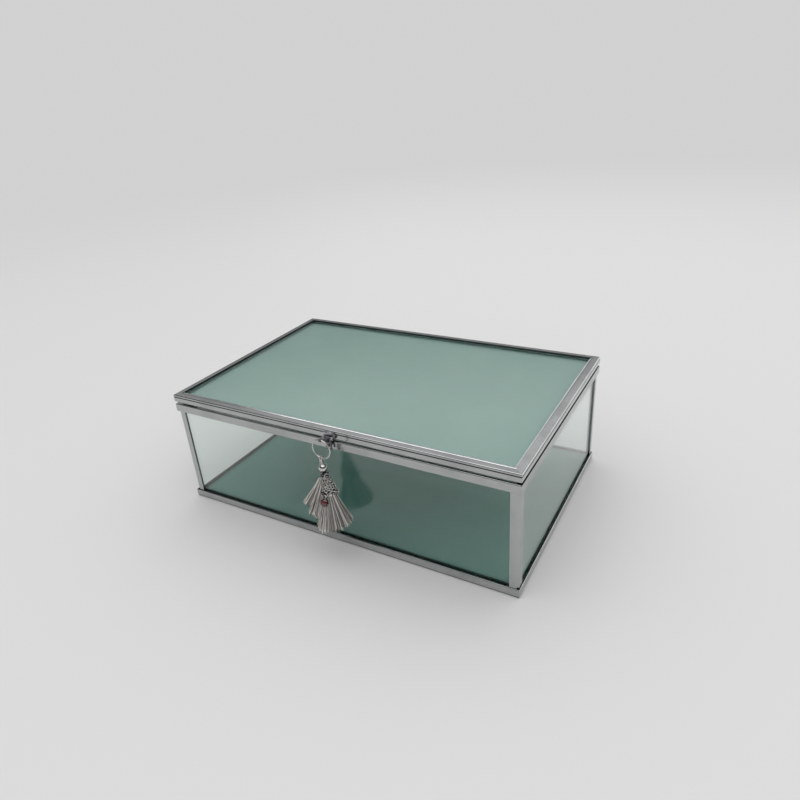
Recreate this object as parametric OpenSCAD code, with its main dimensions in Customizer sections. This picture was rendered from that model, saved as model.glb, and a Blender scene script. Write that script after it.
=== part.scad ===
// Glass vanity trinket box: a folded sheet-metal frame round four clear panes, a lined glass base,
// a hinged lid of lined glass, and a hasp that carries a jump ring and a thread tassel.
// Origin: middle of the underside. +X right, -Y front, +Z up. Millimetres.

/* [Case] */
// Width of the case over its rails
box_w = 200; // [150:1:260]
// Depth of the case over its rails, front to back
box_d = 130; // [100:1:180]
// Height of the case up to the top of its top rails
body_h = 61.5; // [52:0.1:90]
// Gap between the closed lid and the top rails
seam_gap = 1.1; // [0.3:0.05:1.3]

/* [Sheet metal] */
// Thickness of the folded sheet
sheet_t = 0.6; // [0.5:0.05:0.7]
// Height of the bottom rail's face
bottom_rail_h = 4.5; // [4:0.1:7]
// Width of the bottom rail's flange, which carries the panes and the base
bottom_flange_w = 8; // [6:0.5:14]
// Height of the top rail's face
top_rail_h = 4.8; // [4.2:0.1:7]
// Width of each leg of a corner post
post_leg = 4.6; // [3.5:0.1:7]
// Outside radius of the bend of a corner post
post_bend_r = 1.8; // [1.2:0.1:2.2]
// Width of the lid's top lip, up to the middle of its rolled edge
lid_lip_w = 4.2; // [3.2:0.1:7]
// Width of the flange under the lid's lining
lid_flange_w = 5.5; // [4:0.1:9]
// Height of the groove that parts the lid's rolled top edge from its face
lid_groove_h = 0.4; // [0.2:0.05:0.5]
// Depth of that groove
lid_groove_t = 0.3; // [0.2:0.05:0.4]

/* [Glass and lining] */
// Thickness of every pane
glass_t = 2; // [1.6:0.1:2.4]
// Thickness of the lining under the lid glass
lining_t = 0.55; // [0.4:0.05:1]
// Thickness of the lined board under the base glass
board_t = 2.5; // [0.6:0.1:3]

/* [Hinges] */
// Distance of each hinge from the middle of the back
hinge_x = 60; // [30:1:62]
// Length of each hinge along its pin
hinge_w = 16; // [13:0.5:20]
// Length of the lid's knuckle in the middle of a hinge
lid_knuckle_w = 7; // [6:0.1:8]
// Thickness of a hinge leaf
leaf_t = 0.7; // [0.5:0.05:0.8]
// Radius of a hinge knuckle
knuckle_r = 1.5; // [1.3:0.05:1.7]
// Diameter of a hinge pin
hinge_pin_d = 1.5; // [1.2:0.05:1.7]
// Radius of the peened heads of a hinge pin
hinge_pin_head_r = 1.15; // [1:0.05:1.3]
// Thickness of the peened heads of a hinge pin
hinge_pin_head_t = 0.5; // [0.3:0.05:0.8]
// Reach of the case leaf below the hinge axis
case_leaf_drop = 4.6; // [4.4:0.05:4.75]
// Reach of the lid leaf above the hinge axis
lid_leaf_rise = 4; // [3:0.05:4.2]
// Angle at which the stop tab holds the open lid
lid_open = 105; // [100:1:110]
// Thickness of the stop tab
stop_tab_t = 0.8; // [0.6:0.05:1]
// Width of the stop tab
stop_tab_w = 5; // [3:0.1:5.8]

/* [Clasp] */
// Sideways place of the clasp on the front
clasp_x = 4.2; // [-20:0.1:20]
// Width of the plate on the lid's face
clasp_plate_w = 6; // [5.4:0.1:8]
// Thickness of the plate
clasp_plate_t = 0.8; // [0.6:0.05:0.9]
// Bare edge left above and below the plate on the lid's face
clasp_plate_margin = 0.4; // [0.2:0.05:0.6]
// Radius of the clasp's knuckles
clasp_knuckle_r = 0.9; // [0.8:0.05:1]
// Diameter of the clasp's pin
clasp_pin_d = 0.8; // [0.6:0.05:1]
// Radius of the pin's heads
clasp_pin_head_r = 0.7; // [0.6:0.05:0.8]
// Thickness of the pin's heads
clasp_pin_head_t = 0.3; // [0.2:0.05:0.5]
// Height of the clasp's pin above the lid's lower edge
clasp_axis_rise = 1; // [0.9:0.05:1.2]
// Distance of the clasp's pin in front of the lid's face
clasp_axis_front = 1.3; // [1.25:0.05:1.5]
// Width of the hasp tongue
tongue_w = 3; // [2.8:0.1:3.4]
// Thickness of the hasp tongue
tongue_t = 0.8; // [0.6:0.05:0.9]
// Reach of the tongue below the clasp's pin
tongue_drop = 6.2; // [5.8:0.1:7]
// Bevel that leads the peg in between the tongue's tines
tine_lead = 0.3; // [0.2:0.05:0.4]
// Diameter of the catch peg between the tongue's tines
peg_d = 1.3; // [1:0.05:1.4]
// Reach of the catch peg in front of the top rail
peg_reach = 2.6; // [2.2:0.1:3]
// Drop of the catch peg below the clasp's pin
peg_drop = 4.1; // [3.9:0.1:4.5]
// Radius of the collar at the root of the peg
peg_collar_r = 1; // [0.8:0.05:1.2]
// Thickness of the collar at the root of the peg
peg_collar_t = 0.35; // [0.2:0.05:0.45]
// Thickness of the arm that carries the jump ring
arm_t = 0.8; // [0.6:0.05:1]
// Width of the arm
arm_w = 1; // [0.8:0.05:1.1]
// Drop of the arm's root below the clasp's pin
arm_root_drop = 1.9; // [1.8:0.05:2.1]
// Metal left round the hole in the arm's eye
eye_wall = 0.5; // [0.4:0.05:0.6]

/* [Jump ring] */
// Outside diameter of the jump ring
ring_d = 10.6; // [9.5:0.1:13]
// Diameter of its wire
ring_wire_d = 0.65; // [0.6:0.05:0.9]
// Distance of the ring in front of the case
ring_front = 7.5; // [7.2:0.1:9]
// Height of the ring's top wire above the clasp's pin
ring_rise = 2.1; // [1.8:0.05:2.2]

/* [Tassel] */
// Sideways lean with which the tassel hangs on the ring
tassel_lean = 7; // [0:0.5:8]
// Place of the tassel left of the ring's lowest point
tassel_shift = 1.2; // [0:0.1:1.4]
// Diameter of the wire of the eye pin's loop
loop_wire_d = 0.65; // [0.5:0.05:0.8]
// Radius of the wire wrapped round the pin's neck, over the bead
neck_r = 0.9; // [0.7:0.05:1.1]
// Height of that wrap, up to the loop
neck_h = 2.5; // [0.6:0.05:3]
// Diameter of the eye pin's shank
shank_d = 0.8; // [0.6:0.05:0.9]
// Radius of the head at the foot of the shank
shank_head_r = 1; // [0.8:0.05:1.1]
// Thickness of that head
shank_head_t = 0.3; // [0.2:0.05:0.5]
// Diameter of the round bead
bead_d = 4.3; // [4:0.1:5]
// Height of the bead between the flats round its hole
bead_h = 4.1; // [3.6:0.1:4.1]
// Height of the petalled cap, from its top to its petal tips
cap_h = 13.4; // [12:0.1:15]
// Radius of the cap at its top
cap_top_r = 1.6; // [1.5:0.05:2]
// Radius of the cap at its petal tips
cap_mouth_r = 4.6; // [4.4:0.1:5.2]
// Thickness of the cap's wall
cap_wall = 0.6; // [0.4:0.05:0.7]
// Thickness of the cap's top plate
cap_top_t = 0.8; // [0.6:0.05:1]
// Number of petals
petals = 3; // [3:1:4]
// Rise of the scalloped mouth between two petal tips
petal_rise = 3.2; // [2:0.1:3.6]
// Thickness of the wire that rims the cap below its top
cap_rim_d = 0.8; // [0.5:0.05:0.9]
// Number of rows of piercings
pierce_rows = 4; // [2:1:4]
// Number of piercings to a petal in one row
pierce_turns = 3; // [2:1:3]
// Depth of the first row below the cap's top
pierce_first = 3; // [2.6:0.1:3.4]
// Distance of the last row above the scallops
pierce_margin = 1.5; // [1.2:0.1:2]
// Radius of a piercing in the first row
pierce_r = 0.42; // [0.36:0.02:0.46]
// Growth of that radius from row to row
pierce_grow = 0.1; // [0.04:0.01:0.12]
// Radius of the stone
stone_r = 1.7; // [1.2:0.05:1.8]
// Height of the stone's dome
stone_h = 0.9; // [0.6:0.05:1.1]
// Wall of the bezel round the stone
bezel_wall = 0.35; // [0.3:0.05:0.5]
// Thickness of the bezel's floor
bezel_floor = 0.4; // [0.3:0.05:0.6]
// Depth at which the stone sits in the bezel
bezel_depth = 0.5; // [0.4:0.05:0.7]
// Overlap of the bezel on the tip of the front petal
bezel_lap = 0.8; // [0.6:0.05:1]
// Distance of the strands' roots above the petal tips
root_rise = 1; // [0.6:0.1:1.6]
// Thickness of the thread slice that the strands grow from
root_slice_t = 1; // [0.8:0.1:1.4]
// Number of strands in the fringe
strands = 340; // [300:1:400]
// Length of a strand
strand_len = 18.2; // [15:0.1:21]
// Thickness of a strand
strand_d = 0.3; // [0.2:0.02:0.34]
// Reach of the strand tips to either side
fringe_side = 10.5; // [8:0.1:12]
// Reach of the strand tips to the front
fringe_front = 11; // [8:0.1:12]
// Reach of the strand tips towards the glass
fringe_back = 8; // [6:0.1:8.2]
// Unevenness of the strands' ends
fringe_ragged = 0.9; // [0:0.1:1.5]

/* [Fits] */
// Clearance of the glass and the lining to what they stand beside
pane_clear = 0.05; // [0.02:0.01:0.1]
// Room between a lining and the glass over it
lining_clear = 0.05; // [0.02:0.01:0.1]
// Running clearance of a pin in a knuckle, on the radius
pin_clear = 0.05; // [0.02:0.01:0.08]
// Clearance of a wire ring in its eye, on the radius
eye_clear = 0.08; // [0.05:0.01:0.1]
// Gap between neighbouring knuckles
knuckle_gap = 0.3; // [0.2:0.05:0.4]
// Clearance of the tongue's tines to the catch peg
slot_clear = 0.3; // [0.25:0.05:0.35]
// Gap that the stop tab keeps at the end of the lid's travel
stop_gap = 0.05; // [0.02:0.01:0.1]
// Clearance of the tassel's pin in the bead and the cap, on the radius
bead_clear = 0.05; // [0.02:0.01:0.08]

/* [Hidden] */
$fn = 48;
// Sides of the case, a quarter turn apart
FRONT = 0;
RIGHT = 1;
REAR = 2;
LEFT = 3;
// Overlap with which joined shapes and cutters pass each other
over = 0.2;
// Angle between neighbouring strands round the fringe
golden_angle = 137.508;
strand_sides = 3;

metal = [0.66, 0.66, 0.68];
clear_glass = [0.80, 0.90, 0.87, 0.35];
mint = [0.52, 0.66, 0.60];
dark_metal = [0.36, 0.38, 0.42];
silver = [0.70, 0.69, 0.66];
thread = [0.62, 0.60, 0.58];
ruby = [0.50, 0.05, 0.06];

// Rails
rail_inset = 2 * sheet_t;
pane_inset = rail_inset + pane_clear;
inside_inset = pane_inset + glass_t + pane_clear;
cap_rail_w = inside_inset + sheet_t;
lid_h = 3 * sheet_t + lining_t + lining_clear + glass_t;
lid_z = body_h + seam_gap;
box_h = lid_z + lid_h;
hem_end = sheet_t + post_leg + pane_clear;

// Hinge
hinge_y = box_d / 2 + leaf_t + knuckle_r;
hinge_z = body_h + seam_gap / 2;
leaf_clear = knuckle_r + knuckle_gap + over;
case_knuckle_w = (hinge_w - lid_knuckle_w) / 2 - knuckle_gap;
stop_reach = (stop_tab_t / 2 * sin(lid_open) - knuckle_r + stop_gap) / cos(lid_open);

// Clasp and ring
face_y = -box_d / 2;
clasp_y = face_y - clasp_axis_front;
clasp_z = lid_z + clasp_axis_rise;
clasp_lug_w = (clasp_plate_w - tongue_w) / 2 - knuckle_gap;
eye_r = ring_wire_d / 2 + eye_clear;
ring_y = face_y - ring_front;
ring_z = clasp_z + ring_rise;
ring_r = (ring_d - ring_wire_d) / 2;

// Tassel
tassel_x = clasp_x - tassel_shift;
tassel_z = ring_z - ring_r - sqrt(pow(ring_r, 2) - pow(tassel_shift, 2));
loop_r = ring_wire_d / 2 + eye_clear + loop_wire_d / 2;
bead_top_z = tassel_z - loop_r - loop_wire_d / 2 - neck_h;
cap_z = bead_top_z - bead_h;
cap_slope = atan((cap_mouth_r - cap_top_r) / cap_h);
core_top = cap_top_t + shank_head_t;
root_z = cap_h - root_rise;
core_h = root_z - core_top;
fringe_root_r = core_r(root_z) - strand_d;
front_heading = -90;
pierce_pitch = (cap_h - petal_rise - pierce_margin - pierce_first) / (pierce_rows - 1);

function side_length(side) = side % 2 == 0 ? box_w : box_d;
function side_reach(side) = side % 2 == 0 ? box_d / 2 : box_w / 2;

// Carries a shape drawn at the front, with its outer face on y = 0, to one side of the case
module on_side(side)
    rotate(90 * side)
        translate([0, -side_reach(side), 0])
            children();

// Runs a section along X: the section's x points into the case and its y points up
module run(length)
    rotate([90, 0, 90])
        linear_extrude(length, center = true)
            children();

// Cuts a run at 45 degrees at both ends, up to a depth into the case
module mitred(length, depth)
    intersection() {
        union() children();
        linear_extrude(box_h)
            polygon([
                [-length / 2, 0],
                [length / 2, 0],
                [length / 2 - depth, depth],
                [-length / 2 + depth, depth]
            ]);
    }

// One wall of sheet that rises from a bend, its free edge rounded by the fold of a hem
module hemmed_wall(height) {
    translate([0, sheet_t])
        square([sheet_t, height - 2 * sheet_t]);
    translate([0, height - sheet_t])
        mirror([0, 1])
            translate([0, -sheet_t])
                bend();
}

// A quarter turn of sheet with a sharp inside corner
module bend()
    intersection() {
        square(sheet_t);
        translate([sheet_t, sheet_t])
            circle(sheet_t);
    }

// The hem folded down behind that wall
module hem(height)
    translate([2 * sheet_t, 0])
        mirror([1, 0])
            hemmed_wall(height);

module bottom_rail(side) {
    length = side_length(side);
    color(metal)
        on_side(side) {
            mitred(length, bottom_flange_w)
                run(length) {
                    bend();
                    hemmed_wall(bottom_rail_h);
                    translate([sheet_t, 0])
                        square([bottom_flange_w - sheet_t, sheet_t]);
                }
            run(length - 2 * hem_end)
                hem(bottom_rail_h);
        }
}

module top_rail(side) {
    length = side_length(side);
    color(metal)
        on_side(side)
            translate([0, 0, body_h])
                mirror([0, 0, 1]) {
                    mitred(length, cap_rail_w)
                        run(length) {
                            top_wall();
                            translate([sheet_t, 0])
                                square([cap_rail_w - 2 * sheet_t, sheet_t]);
                            translate([cap_rail_w, 0])
                                mirror([1, 0])
                                    top_wall();
                        }
                    run(length - 2 * hem_end)
                        hem(top_rail_h);
                }
}

// One wall of the top rail's channel, drawn from its web
module top_wall() {
    bend();
    hemmed_wall(top_rail_h);
}

// An angle with a rounded bend, standing in one corner inside the rails
module corner_post(side_x, side_y)
    color(metal)
        in_corner(side_x, side_y)
            translate([0, 0, sheet_t])
                linear_extrude(body_h - 2 * sheet_t) {
                    intersection() {
                        translate([post_bend_r, post_bend_r])
                            difference() {
                                circle(post_bend_r);
                                circle(post_bend_r - sheet_t);
                            }
                        square(post_bend_r);
                    }
                    translate([post_bend_r, 0])
                        square([post_leg - post_bend_r, sheet_t]);
                    translate([0, post_bend_r])
                        square([sheet_t, post_leg - post_bend_r]);
                }

// Mirrors a shape drawn in the front left corner to any corner, just inside the rails
module in_corner(side_x, side_y)
    mirror([side_x > 0 ? 1 : 0, 0, 0])
        mirror([0, side_y > 0 ? 1 : 0, 0])
            translate([-box_w / 2 + sheet_t, -box_d / 2 + sheet_t, 0])
                children();

// A pane stands on the bottom flange and runs up under the top rail's web
module pane(side) {
    end_inset = side % 2 == 0 ? sheet_t + post_bend_r : inside_inset;
    length = side_length(side) - 2 * end_inset;
    color(clear_glass)
        on_side(side)
            translate([-length / 2, pane_inset, sheet_t])
                cube([length, glass_t, body_h - 2 * sheet_t]);
}

// A flat sheet centred on the case, clear of an edge on all four sides
module flat_sheet(edge, z, thickness)
    translate([-box_w / 2 + edge, -box_d / 2 + edge, z])
        cube([box_w - 2 * edge, box_d - 2 * edge, thickness]);

module base_lining()
    color(mint)
        flat_sheet(inside_inset, sheet_t, board_t);

module base_glass()
    color(clear_glass)
        flat_sheet(inside_inset, sheet_t + board_t + lining_clear, glass_t);

module lid_rail(side) {
    length = side_length(side);
    reach = max(lid_lip_w + sheet_t, lid_flange_w);
    color(metal)
        on_side(side)
            mitred(length, reach)
                run(length)
                    translate([0, lid_z])
                        lid_section();
}

// Section of a lid rail: a grooved face, a flange below, and a lip that ends in a rolled edge
module lid_section() {
    bend();
    difference() {
        hemmed_wall(lid_h);
        translate([0, lid_h - 2 * sheet_t - lid_groove_h])
            square([lid_groove_t, lid_groove_h]);
    }
    translate([sheet_t, 0])
        square([lid_flange_w - sheet_t, sheet_t]);
    translate([sheet_t, lid_h - sheet_t]) {
        square([lid_lip_w - sheet_t, sheet_t]);
        translate([lid_lip_w - sheet_t, 0])
            circle(sheet_t);
    }
}

module lid_lining()
    color(mint)
        flat_sheet(sheet_t + pane_clear, lid_z + sheet_t, lining_t);

module lid_glass()
    color(clear_glass)
        flat_sheet(sheet_t + pane_clear, lid_z + sheet_t + lining_t + lining_clear, glass_t);

// A cylinder along X with its middle at a point of the hinge's own plane
module barrel(radius, length)
    rotate([0, 90, 0])
        cylinder(r = radius, h = length, center = true);

// The leaf on the case carries the two outer knuckles
module hinge_case_leaf(place) {
    knuckle_x = (hinge_w - case_knuckle_w) / 2;
    color(metal)
        translate([place, hinge_y, hinge_z])
            difference() {
                union() {
                    translate([-hinge_w / 2, -knuckle_r - leaf_t, -case_leaf_drop])
                        cube([hinge_w, leaf_t, case_leaf_drop - leaf_clear]);
                    for (end = [-1, 1])
                        translate([end * knuckle_x, 0, 0])
                            hinge_knuckle(case_knuckle_w, -1);
                }
                barrel(hinge_pin_d / 2, hinge_w + over);
            }
}

// One knuckle with its neck, which runs down (-1) or up (1) onto the leaf
module hinge_knuckle(width, way) {
    joggle_h = leaf_clear + over;
    barrel(knuckle_r, width);
    translate([-width / 2, -knuckle_r - leaf_t, way > 0 ? leaf_t : -joggle_h])
        cube([width, leaf_t, joggle_h - leaf_t]);
    translate([-width / 2, -knuckle_r - leaf_t / 2, way > 0 ? leaf_t : -2 * leaf_t])
        cube([width, knuckle_r, leaf_t]);
}

// The leaf on the lid carries the middle knuckle and the tab that stops the open lid
module hinge_lid_leaf(place) {
    color(metal)
        translate([place, hinge_y, hinge_z])
            difference() {
                union() {
                    translate([-hinge_w / 2, -knuckle_r - leaf_t, leaf_clear])
                        cube([hinge_w, leaf_t, lid_leaf_rise - leaf_clear]);
                    hinge_knuckle(lid_knuckle_w, 1);
                    translate([-stop_tab_w / 2, 0, -stop_tab_t / 2])
                        cube([stop_tab_w, stop_reach, stop_tab_t]);
                }
                barrel(hinge_pin_d / 2 + pin_clear, hinge_w);
            }
}

// A pin with a peened head at each end
module headed_pin(diameter, length, head_r, head_t) {
    barrel(diameter / 2, length + head_t);
    for (end = [-1, 1])
        translate([end * (length + head_t) / 2, 0, 0])
            barrel(head_r, head_t);
}

module hinge_pin(place)
    color(metal)
        translate([place, hinge_y, hinge_z])
            headed_pin(hinge_pin_d, hinge_w, hinge_pin_head_r, hinge_pin_head_t);

// Domed peg on the front top rail, with a collar at its root
module catch_peg()
    color(dark_metal)
        translate([clasp_x, face_y, clasp_z - peg_drop])
            rotate([90, 0, 0]) {
                cylinder(r = peg_collar_r, h = peg_collar_t);
                cylinder(d = peg_d, h = peg_reach - peg_d / 2);
                translate([0, 0, peg_reach - peg_d / 2])
                    sphere(d = peg_d);
            }

// Plate on the lid's face with two lugs, notched for the tongue's knuckle
module clasp_plate() {
    notch_w = tongue_w + 2 * knuckle_gap;
    plate_z = lid_z + clasp_plate_margin;
    plate_h = lid_h - 2 * clasp_plate_margin;
    notch_top = clasp_z + clasp_knuckle_r + knuckle_gap;
    color(dark_metal)
        difference() {
            union() {
                difference() {
                    translate([clasp_x - clasp_plate_w / 2, face_y - clasp_plate_t, plate_z])
                        cube([clasp_plate_w, clasp_plate_t, plate_h]);
                    translate([clasp_x - notch_w / 2, face_y - clasp_plate_t - over, plate_z - over])
                        cube([notch_w, clasp_plate_t + 2 * over, notch_top - plate_z + over]);
                }
                for (end = [-1, 1])
                    translate([clasp_x + end * (clasp_plate_w - clasp_lug_w) / 2, clasp_y, clasp_z])
                        barrel(clasp_knuckle_r, clasp_lug_w);
            }
            translate([clasp_x, clasp_y, clasp_z])
                barrel(clasp_pin_d / 2, clasp_plate_w + over);
        }
}

module clasp_pin()
    color(metal)
        translate([clasp_x, clasp_y, clasp_z])
            headed_pin(clasp_pin_d, clasp_plate_w, clasp_pin_head_r, clasp_pin_head_t);

// Hinged tongue: a knuckle on the clasp's pin, and a fork over the catch peg below
module hasp_tongue() {
    slot_w = peg_d + 2 * slot_clear;
    slot_top = -peg_drop + slot_w / 2;
    color(dark_metal)
        translate([clasp_x, clasp_y, clasp_z])
            difference() {
                union() {
                    barrel(clasp_knuckle_r, tongue_w);
                    translate([0, tongue_t / 2, 0])
                        rotate([90, 0, 0])
                            linear_extrude(tongue_t)
                                polygon([
                                    [-tongue_w / 2, 0],
                                    [-tongue_w / 2, -tongue_drop],
                                    [-slot_w / 2 - tine_lead, -tongue_drop],
                                    [-slot_w / 2, -tongue_drop + tine_lead],
                                    [-slot_w / 2, slot_top],
                                    [slot_w / 2, slot_top],
                                    [slot_w / 2, -tongue_drop + tine_lead],
                                    [slot_w / 2 + tine_lead, -tongue_drop],
                                    [tongue_w / 2, -tongue_drop],
                                    [tongue_w / 2, 0]
                                ]);
                }
                barrel(clasp_pin_d / 2 + pin_clear, tongue_w + over);
            }
}

// Flat arm in the upright plane, soldered to the front of the tongue, with the ring's eye at its end
module ring_arm() {
    eye_front = ring_front - clasp_axis_front;
    eye_lift = ring_rise + arm_root_drop;
    arm_length = norm([eye_front, eye_lift]);
    arm_lift = atan(eye_lift / eye_front);
    color(dark_metal)
        translate([clasp_x, clasp_y, clasp_z])
            translate([-arm_t / 2, 0, 0])
                rotate([90, 0, 90])
                    linear_extrude(arm_t)
                        difference() {
                            union() {
                                translate([-eye_front, ring_rise])
                                    circle(eye_r + eye_wall);
                                translate([0, -arm_root_drop])
                                    rotate(180 - arm_lift)
                                        translate([0, -arm_w / 2])
                                            square([arm_length - eye_r, arm_w]);
                            }
                            translate([-eye_front, ring_rise])
                                circle(eye_r);
                            translate([-tongue_t / 2, -tongue_drop])
                                square(2 * tongue_drop);
                        }
}

module jump_ring()
    color(silver)
        translate([clasp_x, ring_y, ring_z - ring_r])
            rotate([90, 0, 0])
                rotate_extrude()
                    translate([ring_r, 0])
                        circle(d = ring_wire_d);

// Hangs a shape at a height of the tassel's own upright axis, and leans it about the wire that it hangs on
module hung(z)
    translate([tassel_x, ring_y, tassel_z])
        rotate([0, -tassel_lean, 0])
            translate([0, 0, z - tassel_z])
                children();

// Loop round the jump ring, with a wrapped neck and a headed shank down through the bead into the cap
module tassel_eye_pin() {
    shank_foot = cap_z - cap_top_t;
    color(silver)
        hung(0) {
            translate([0, 0, tassel_z])
                rotate([0, 90, 0])
                    rotate_extrude()
                        translate([loop_r, 0])
                            circle(d = loop_wire_d);
            translate([0, 0, bead_top_z])
                cylinder(r = neck_r, h = neck_h + loop_wire_d / 2);
            translate([0, 0, shank_foot - shank_head_t / 2])
                cylinder(d = shank_d, h = tassel_z - loop_r - shank_foot + shank_head_t / 2);
            translate([0, 0, shank_foot - shank_head_t])
                cylinder(r = shank_head_r, h = shank_head_t);
        }
}

// Round bead, flat round both ends of its hole
module tassel_bead()
    color(silver)
        hung(cap_z + bead_h / 2)
            difference() {
                intersection() {
                    sphere(d = bead_d);
                    cylinder(d = bead_d, h = bead_h, center = true);
                }
                cylinder(r = shank_d / 2 + bead_clear, h = bead_d, center = true);
            }

// Radius of the cap's outside at a depth below its top
function cap_r(depth) = cap_top_r + (cap_mouth_r - cap_top_r) * depth / cap_h;

// Pierced cone with a scalloped mouth of pointed petals, a rimmed top and a bezel on the front petal
module tassel_cap()
    color(silver)
        hung(cap_z)
            difference() {
                union() {
                    difference() {
                        cap_shell(shank_d / 2 + bead_clear);
                        for (turn = [1:petals])
                            scallop_cut(front_heading + (turn + 0.5) * 360 / petals);
                        cap_piercings();
                    }
                    at_bezel()
                        cylinder(r = stone_r + bezel_wall, h = bezel_floor + bezel_depth);
                }
                at_bezel()
                    translate([0, 0, bezel_floor])
                        cylinder(r = stone_r + bead_clear, h = bezel_depth + over);
            }

module cap_shell(hole_r) {
    rotate_extrude()
        polygon([
            [hole_r, 0],
            [cap_top_r, 0],
            [cap_mouth_r, -cap_h],
            [cap_mouth_r - cap_wall, -cap_h],
            [cap_r(cap_top_t) - cap_wall, -cap_top_t],
            [hole_r, -cap_top_t]
        ]);
    translate([0, 0, -cap_rim_d])
        rotate_extrude()
            translate([cap_r(cap_rim_d), 0])
                circle(d = cap_rim_d);
}

// Cuts the mouth along a plane through two neighbouring tips and the high point between them
module scallop_cut(heading) {
    chord_r = cap_mouth_r * cos(180 / petals);
    lean = atan2(petal_rise, cap_r(cap_h - petal_rise) - chord_r);
    rotate(heading)
        translate([chord_r, 0, -cap_h])
            rotate([0, -lean, 0])
                translate([0, 0, -cap_h / 2])
                    cube([2 * cap_h, 2 * cap_h, cap_h], center = true);
}

// Rows of round piercings that grow towards the mouth, each row set between the last
module cap_piercings()
    for (row = [0:pierce_rows - 1])
        for (turn = [1:pierce_turns * petals]) {
            depth = pierce_first + pierce_pitch * row;
            rotate(front_heading + (turn + row / 2) * 360 / (pierce_turns * petals))
                translate([cap_r(depth) - 2 * cap_wall, 0, -depth])
                    rotate([0, 90, 0])
                        cylinder(r = pierce_r + pierce_grow * row, h = 3 * cap_wall);
        }

// Places a shape on the tip of the front petal, its +Z along the cap's outward slope
module at_bezel() {
    bezel_r = stone_r + bezel_wall;
    translate([0, -cap_mouth_r, -cap_h])
        rotate([90 - cap_slope, 0, 0])
            translate([0, bezel_lap - bezel_r, -cap_wall / 2])
                children();
}

// Domed stone in the bezel
module tassel_stone()
    color(ruby)
        hung(cap_z)
            at_bezel()
                translate([0, 0, bezel_floor]) {
                    cylinder(r = stone_r, h = bezel_depth);
                    translate([0, 0, bezel_depth])
                        stone_dome();
                }

// Cap of a sphere over the stone's girdle
module stone_dome() {
    dome_r = (pow(stone_r, 2) + pow(stone_h, 2)) / (2 * stone_h);
    rotate_extrude()
        intersection() {
            translate([0, stone_h - dome_r])
                circle(dome_r);
            square([stone_r, stone_h]);
        }
}

// Bound head of the threads inside the cap, between the pin's head and the strands
module tassel_core()
    color(thread)
        hung(cap_z - root_z)
            cylinder(r1 = core_r(root_z), r2 = core_r(core_top), h = core_h);

// Radius that clears the cap's inside at a depth below its top
function core_r(depth) = cap_r(depth) - cap_wall - knuckle_gap;

// Root and tip of one strand: the roots fill a disc, and the tips fan out and are pressed flat at the back
function strand_share(i) = sqrt((i + 0.5) / strands);
function strand_root(i) =
    fringe_root_r * strand_share(i) * [cos(i * golden_angle), sin(i * golden_angle)];
function strand_tip(i) =
    let (
        u = strand_share(i) * cos(i * golden_angle),
        v = strand_share(i) * sin(i * golden_angle)
    )
    [fringe_side * u, (v > 0 ? fringe_back : fringe_front) * v];
function strand_drop(i) =
    let (splay = norm(strand_tip(i) - strand_root(i)))
    sqrt(pow(strand_len - fringe_ragged * (1 + sin(i * i)) / 2, 2) - pow(splay, 2));

// Three corners of a strand at one end
function strand_corners(place, z) = [
    for (corner = [0:strand_sides - 1])
        let (heading = 360 * corner / strand_sides)
        [
            place.x + strand_d / 2 * cos(heading),
            place.y + strand_d / 2 * sin(heading),
            z
        ]
];

strand_points = [
    for (i = [0:strands - 1])
        each concat(
            strand_corners(strand_root(i), -root_slice_t / 2),
            strand_corners(strand_tip(i), -root_slice_t / 2 - strand_drop(i))
        )
];
strand_faces = [
    for (i = [0:strands - 1])
        let (
            root = 2 * strand_sides * i,
            tip = root + strand_sides
        )
        each concat(
            [
                [for (corner = [strand_sides - 1:-1:0]) root + corner],
                [for (corner = [0:strand_sides - 1]) tip + corner]
            ],
            [
                for (corner = [0:strand_sides - 1])
                    let (next = (corner + 1) % strand_sides)
                    each [
                        [root + corner, root + next, tip + next],
                        [root + corner, tip + next, tip + corner]
                    ]
            ]
        )
];

// Thread fringe: straight strands that fan out from a slice of the bound head
module tassel_fringe()
    color(thread)
        hung(cap_z - root_z) {
            translate([0, 0, -root_slice_t])
                cylinder(r = fringe_root_r + strand_d, h = root_slice_t);
            polyhedron(strand_points, strand_faces);
        }

bottom_rail(FRONT);  // bottom_rail_front
bottom_rail(RIGHT);  // bottom_rail_right
bottom_rail(REAR);  // bottom_rail_rear
bottom_rail(LEFT);  // bottom_rail_left
corner_post(1, -1);  // corner_post_front_right
corner_post(1, 1);  // corner_post_rear_right
corner_post(-1, 1);  // corner_post_rear_left
corner_post(-1, -1);  // corner_post_front_left
top_rail(FRONT);  // top_rail_front
top_rail(RIGHT);  // top_rail_right
top_rail(REAR);  // top_rail_rear
top_rail(LEFT);  // top_rail_left
pane(FRONT);  // pane_front
pane(RIGHT);  // pane_right
pane(REAR);  // pane_rear
pane(LEFT);  // pane_left
base_lining();
base_glass();
hinge_case_leaf(-hinge_x);  // hinge_case_leaf_left
hinge_case_leaf(hinge_x);  // hinge_case_leaf_right
hinge_pin(-hinge_x);  // hinge_pin_left
hinge_pin(hinge_x);  // hinge_pin_right
catch_peg();
lid_rail(FRONT);  // lid_rail_front
lid_rail(RIGHT);  // lid_rail_right
lid_rail(REAR);  // lid_rail_rear
lid_rail(LEFT);  // lid_rail_left
lid_lining();
lid_glass();
hinge_lid_leaf(-hinge_x);  // hinge_lid_leaf_left
hinge_lid_leaf(hinge_x);  // hinge_lid_leaf_right
clasp_plate();
clasp_pin();
hasp_tongue();
ring_arm();
jump_ring();
tassel_eye_pin();
tassel_bead();
tassel_cap();
tassel_stone();
tassel_core();
tassel_fringe();
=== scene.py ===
"""Looks of a glass keepsake box: polished frame, mint lining under glass, thread tassel on the hasp."""

import math

import bmesh
import bpy
from mathutils import Matrix, Vector


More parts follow.
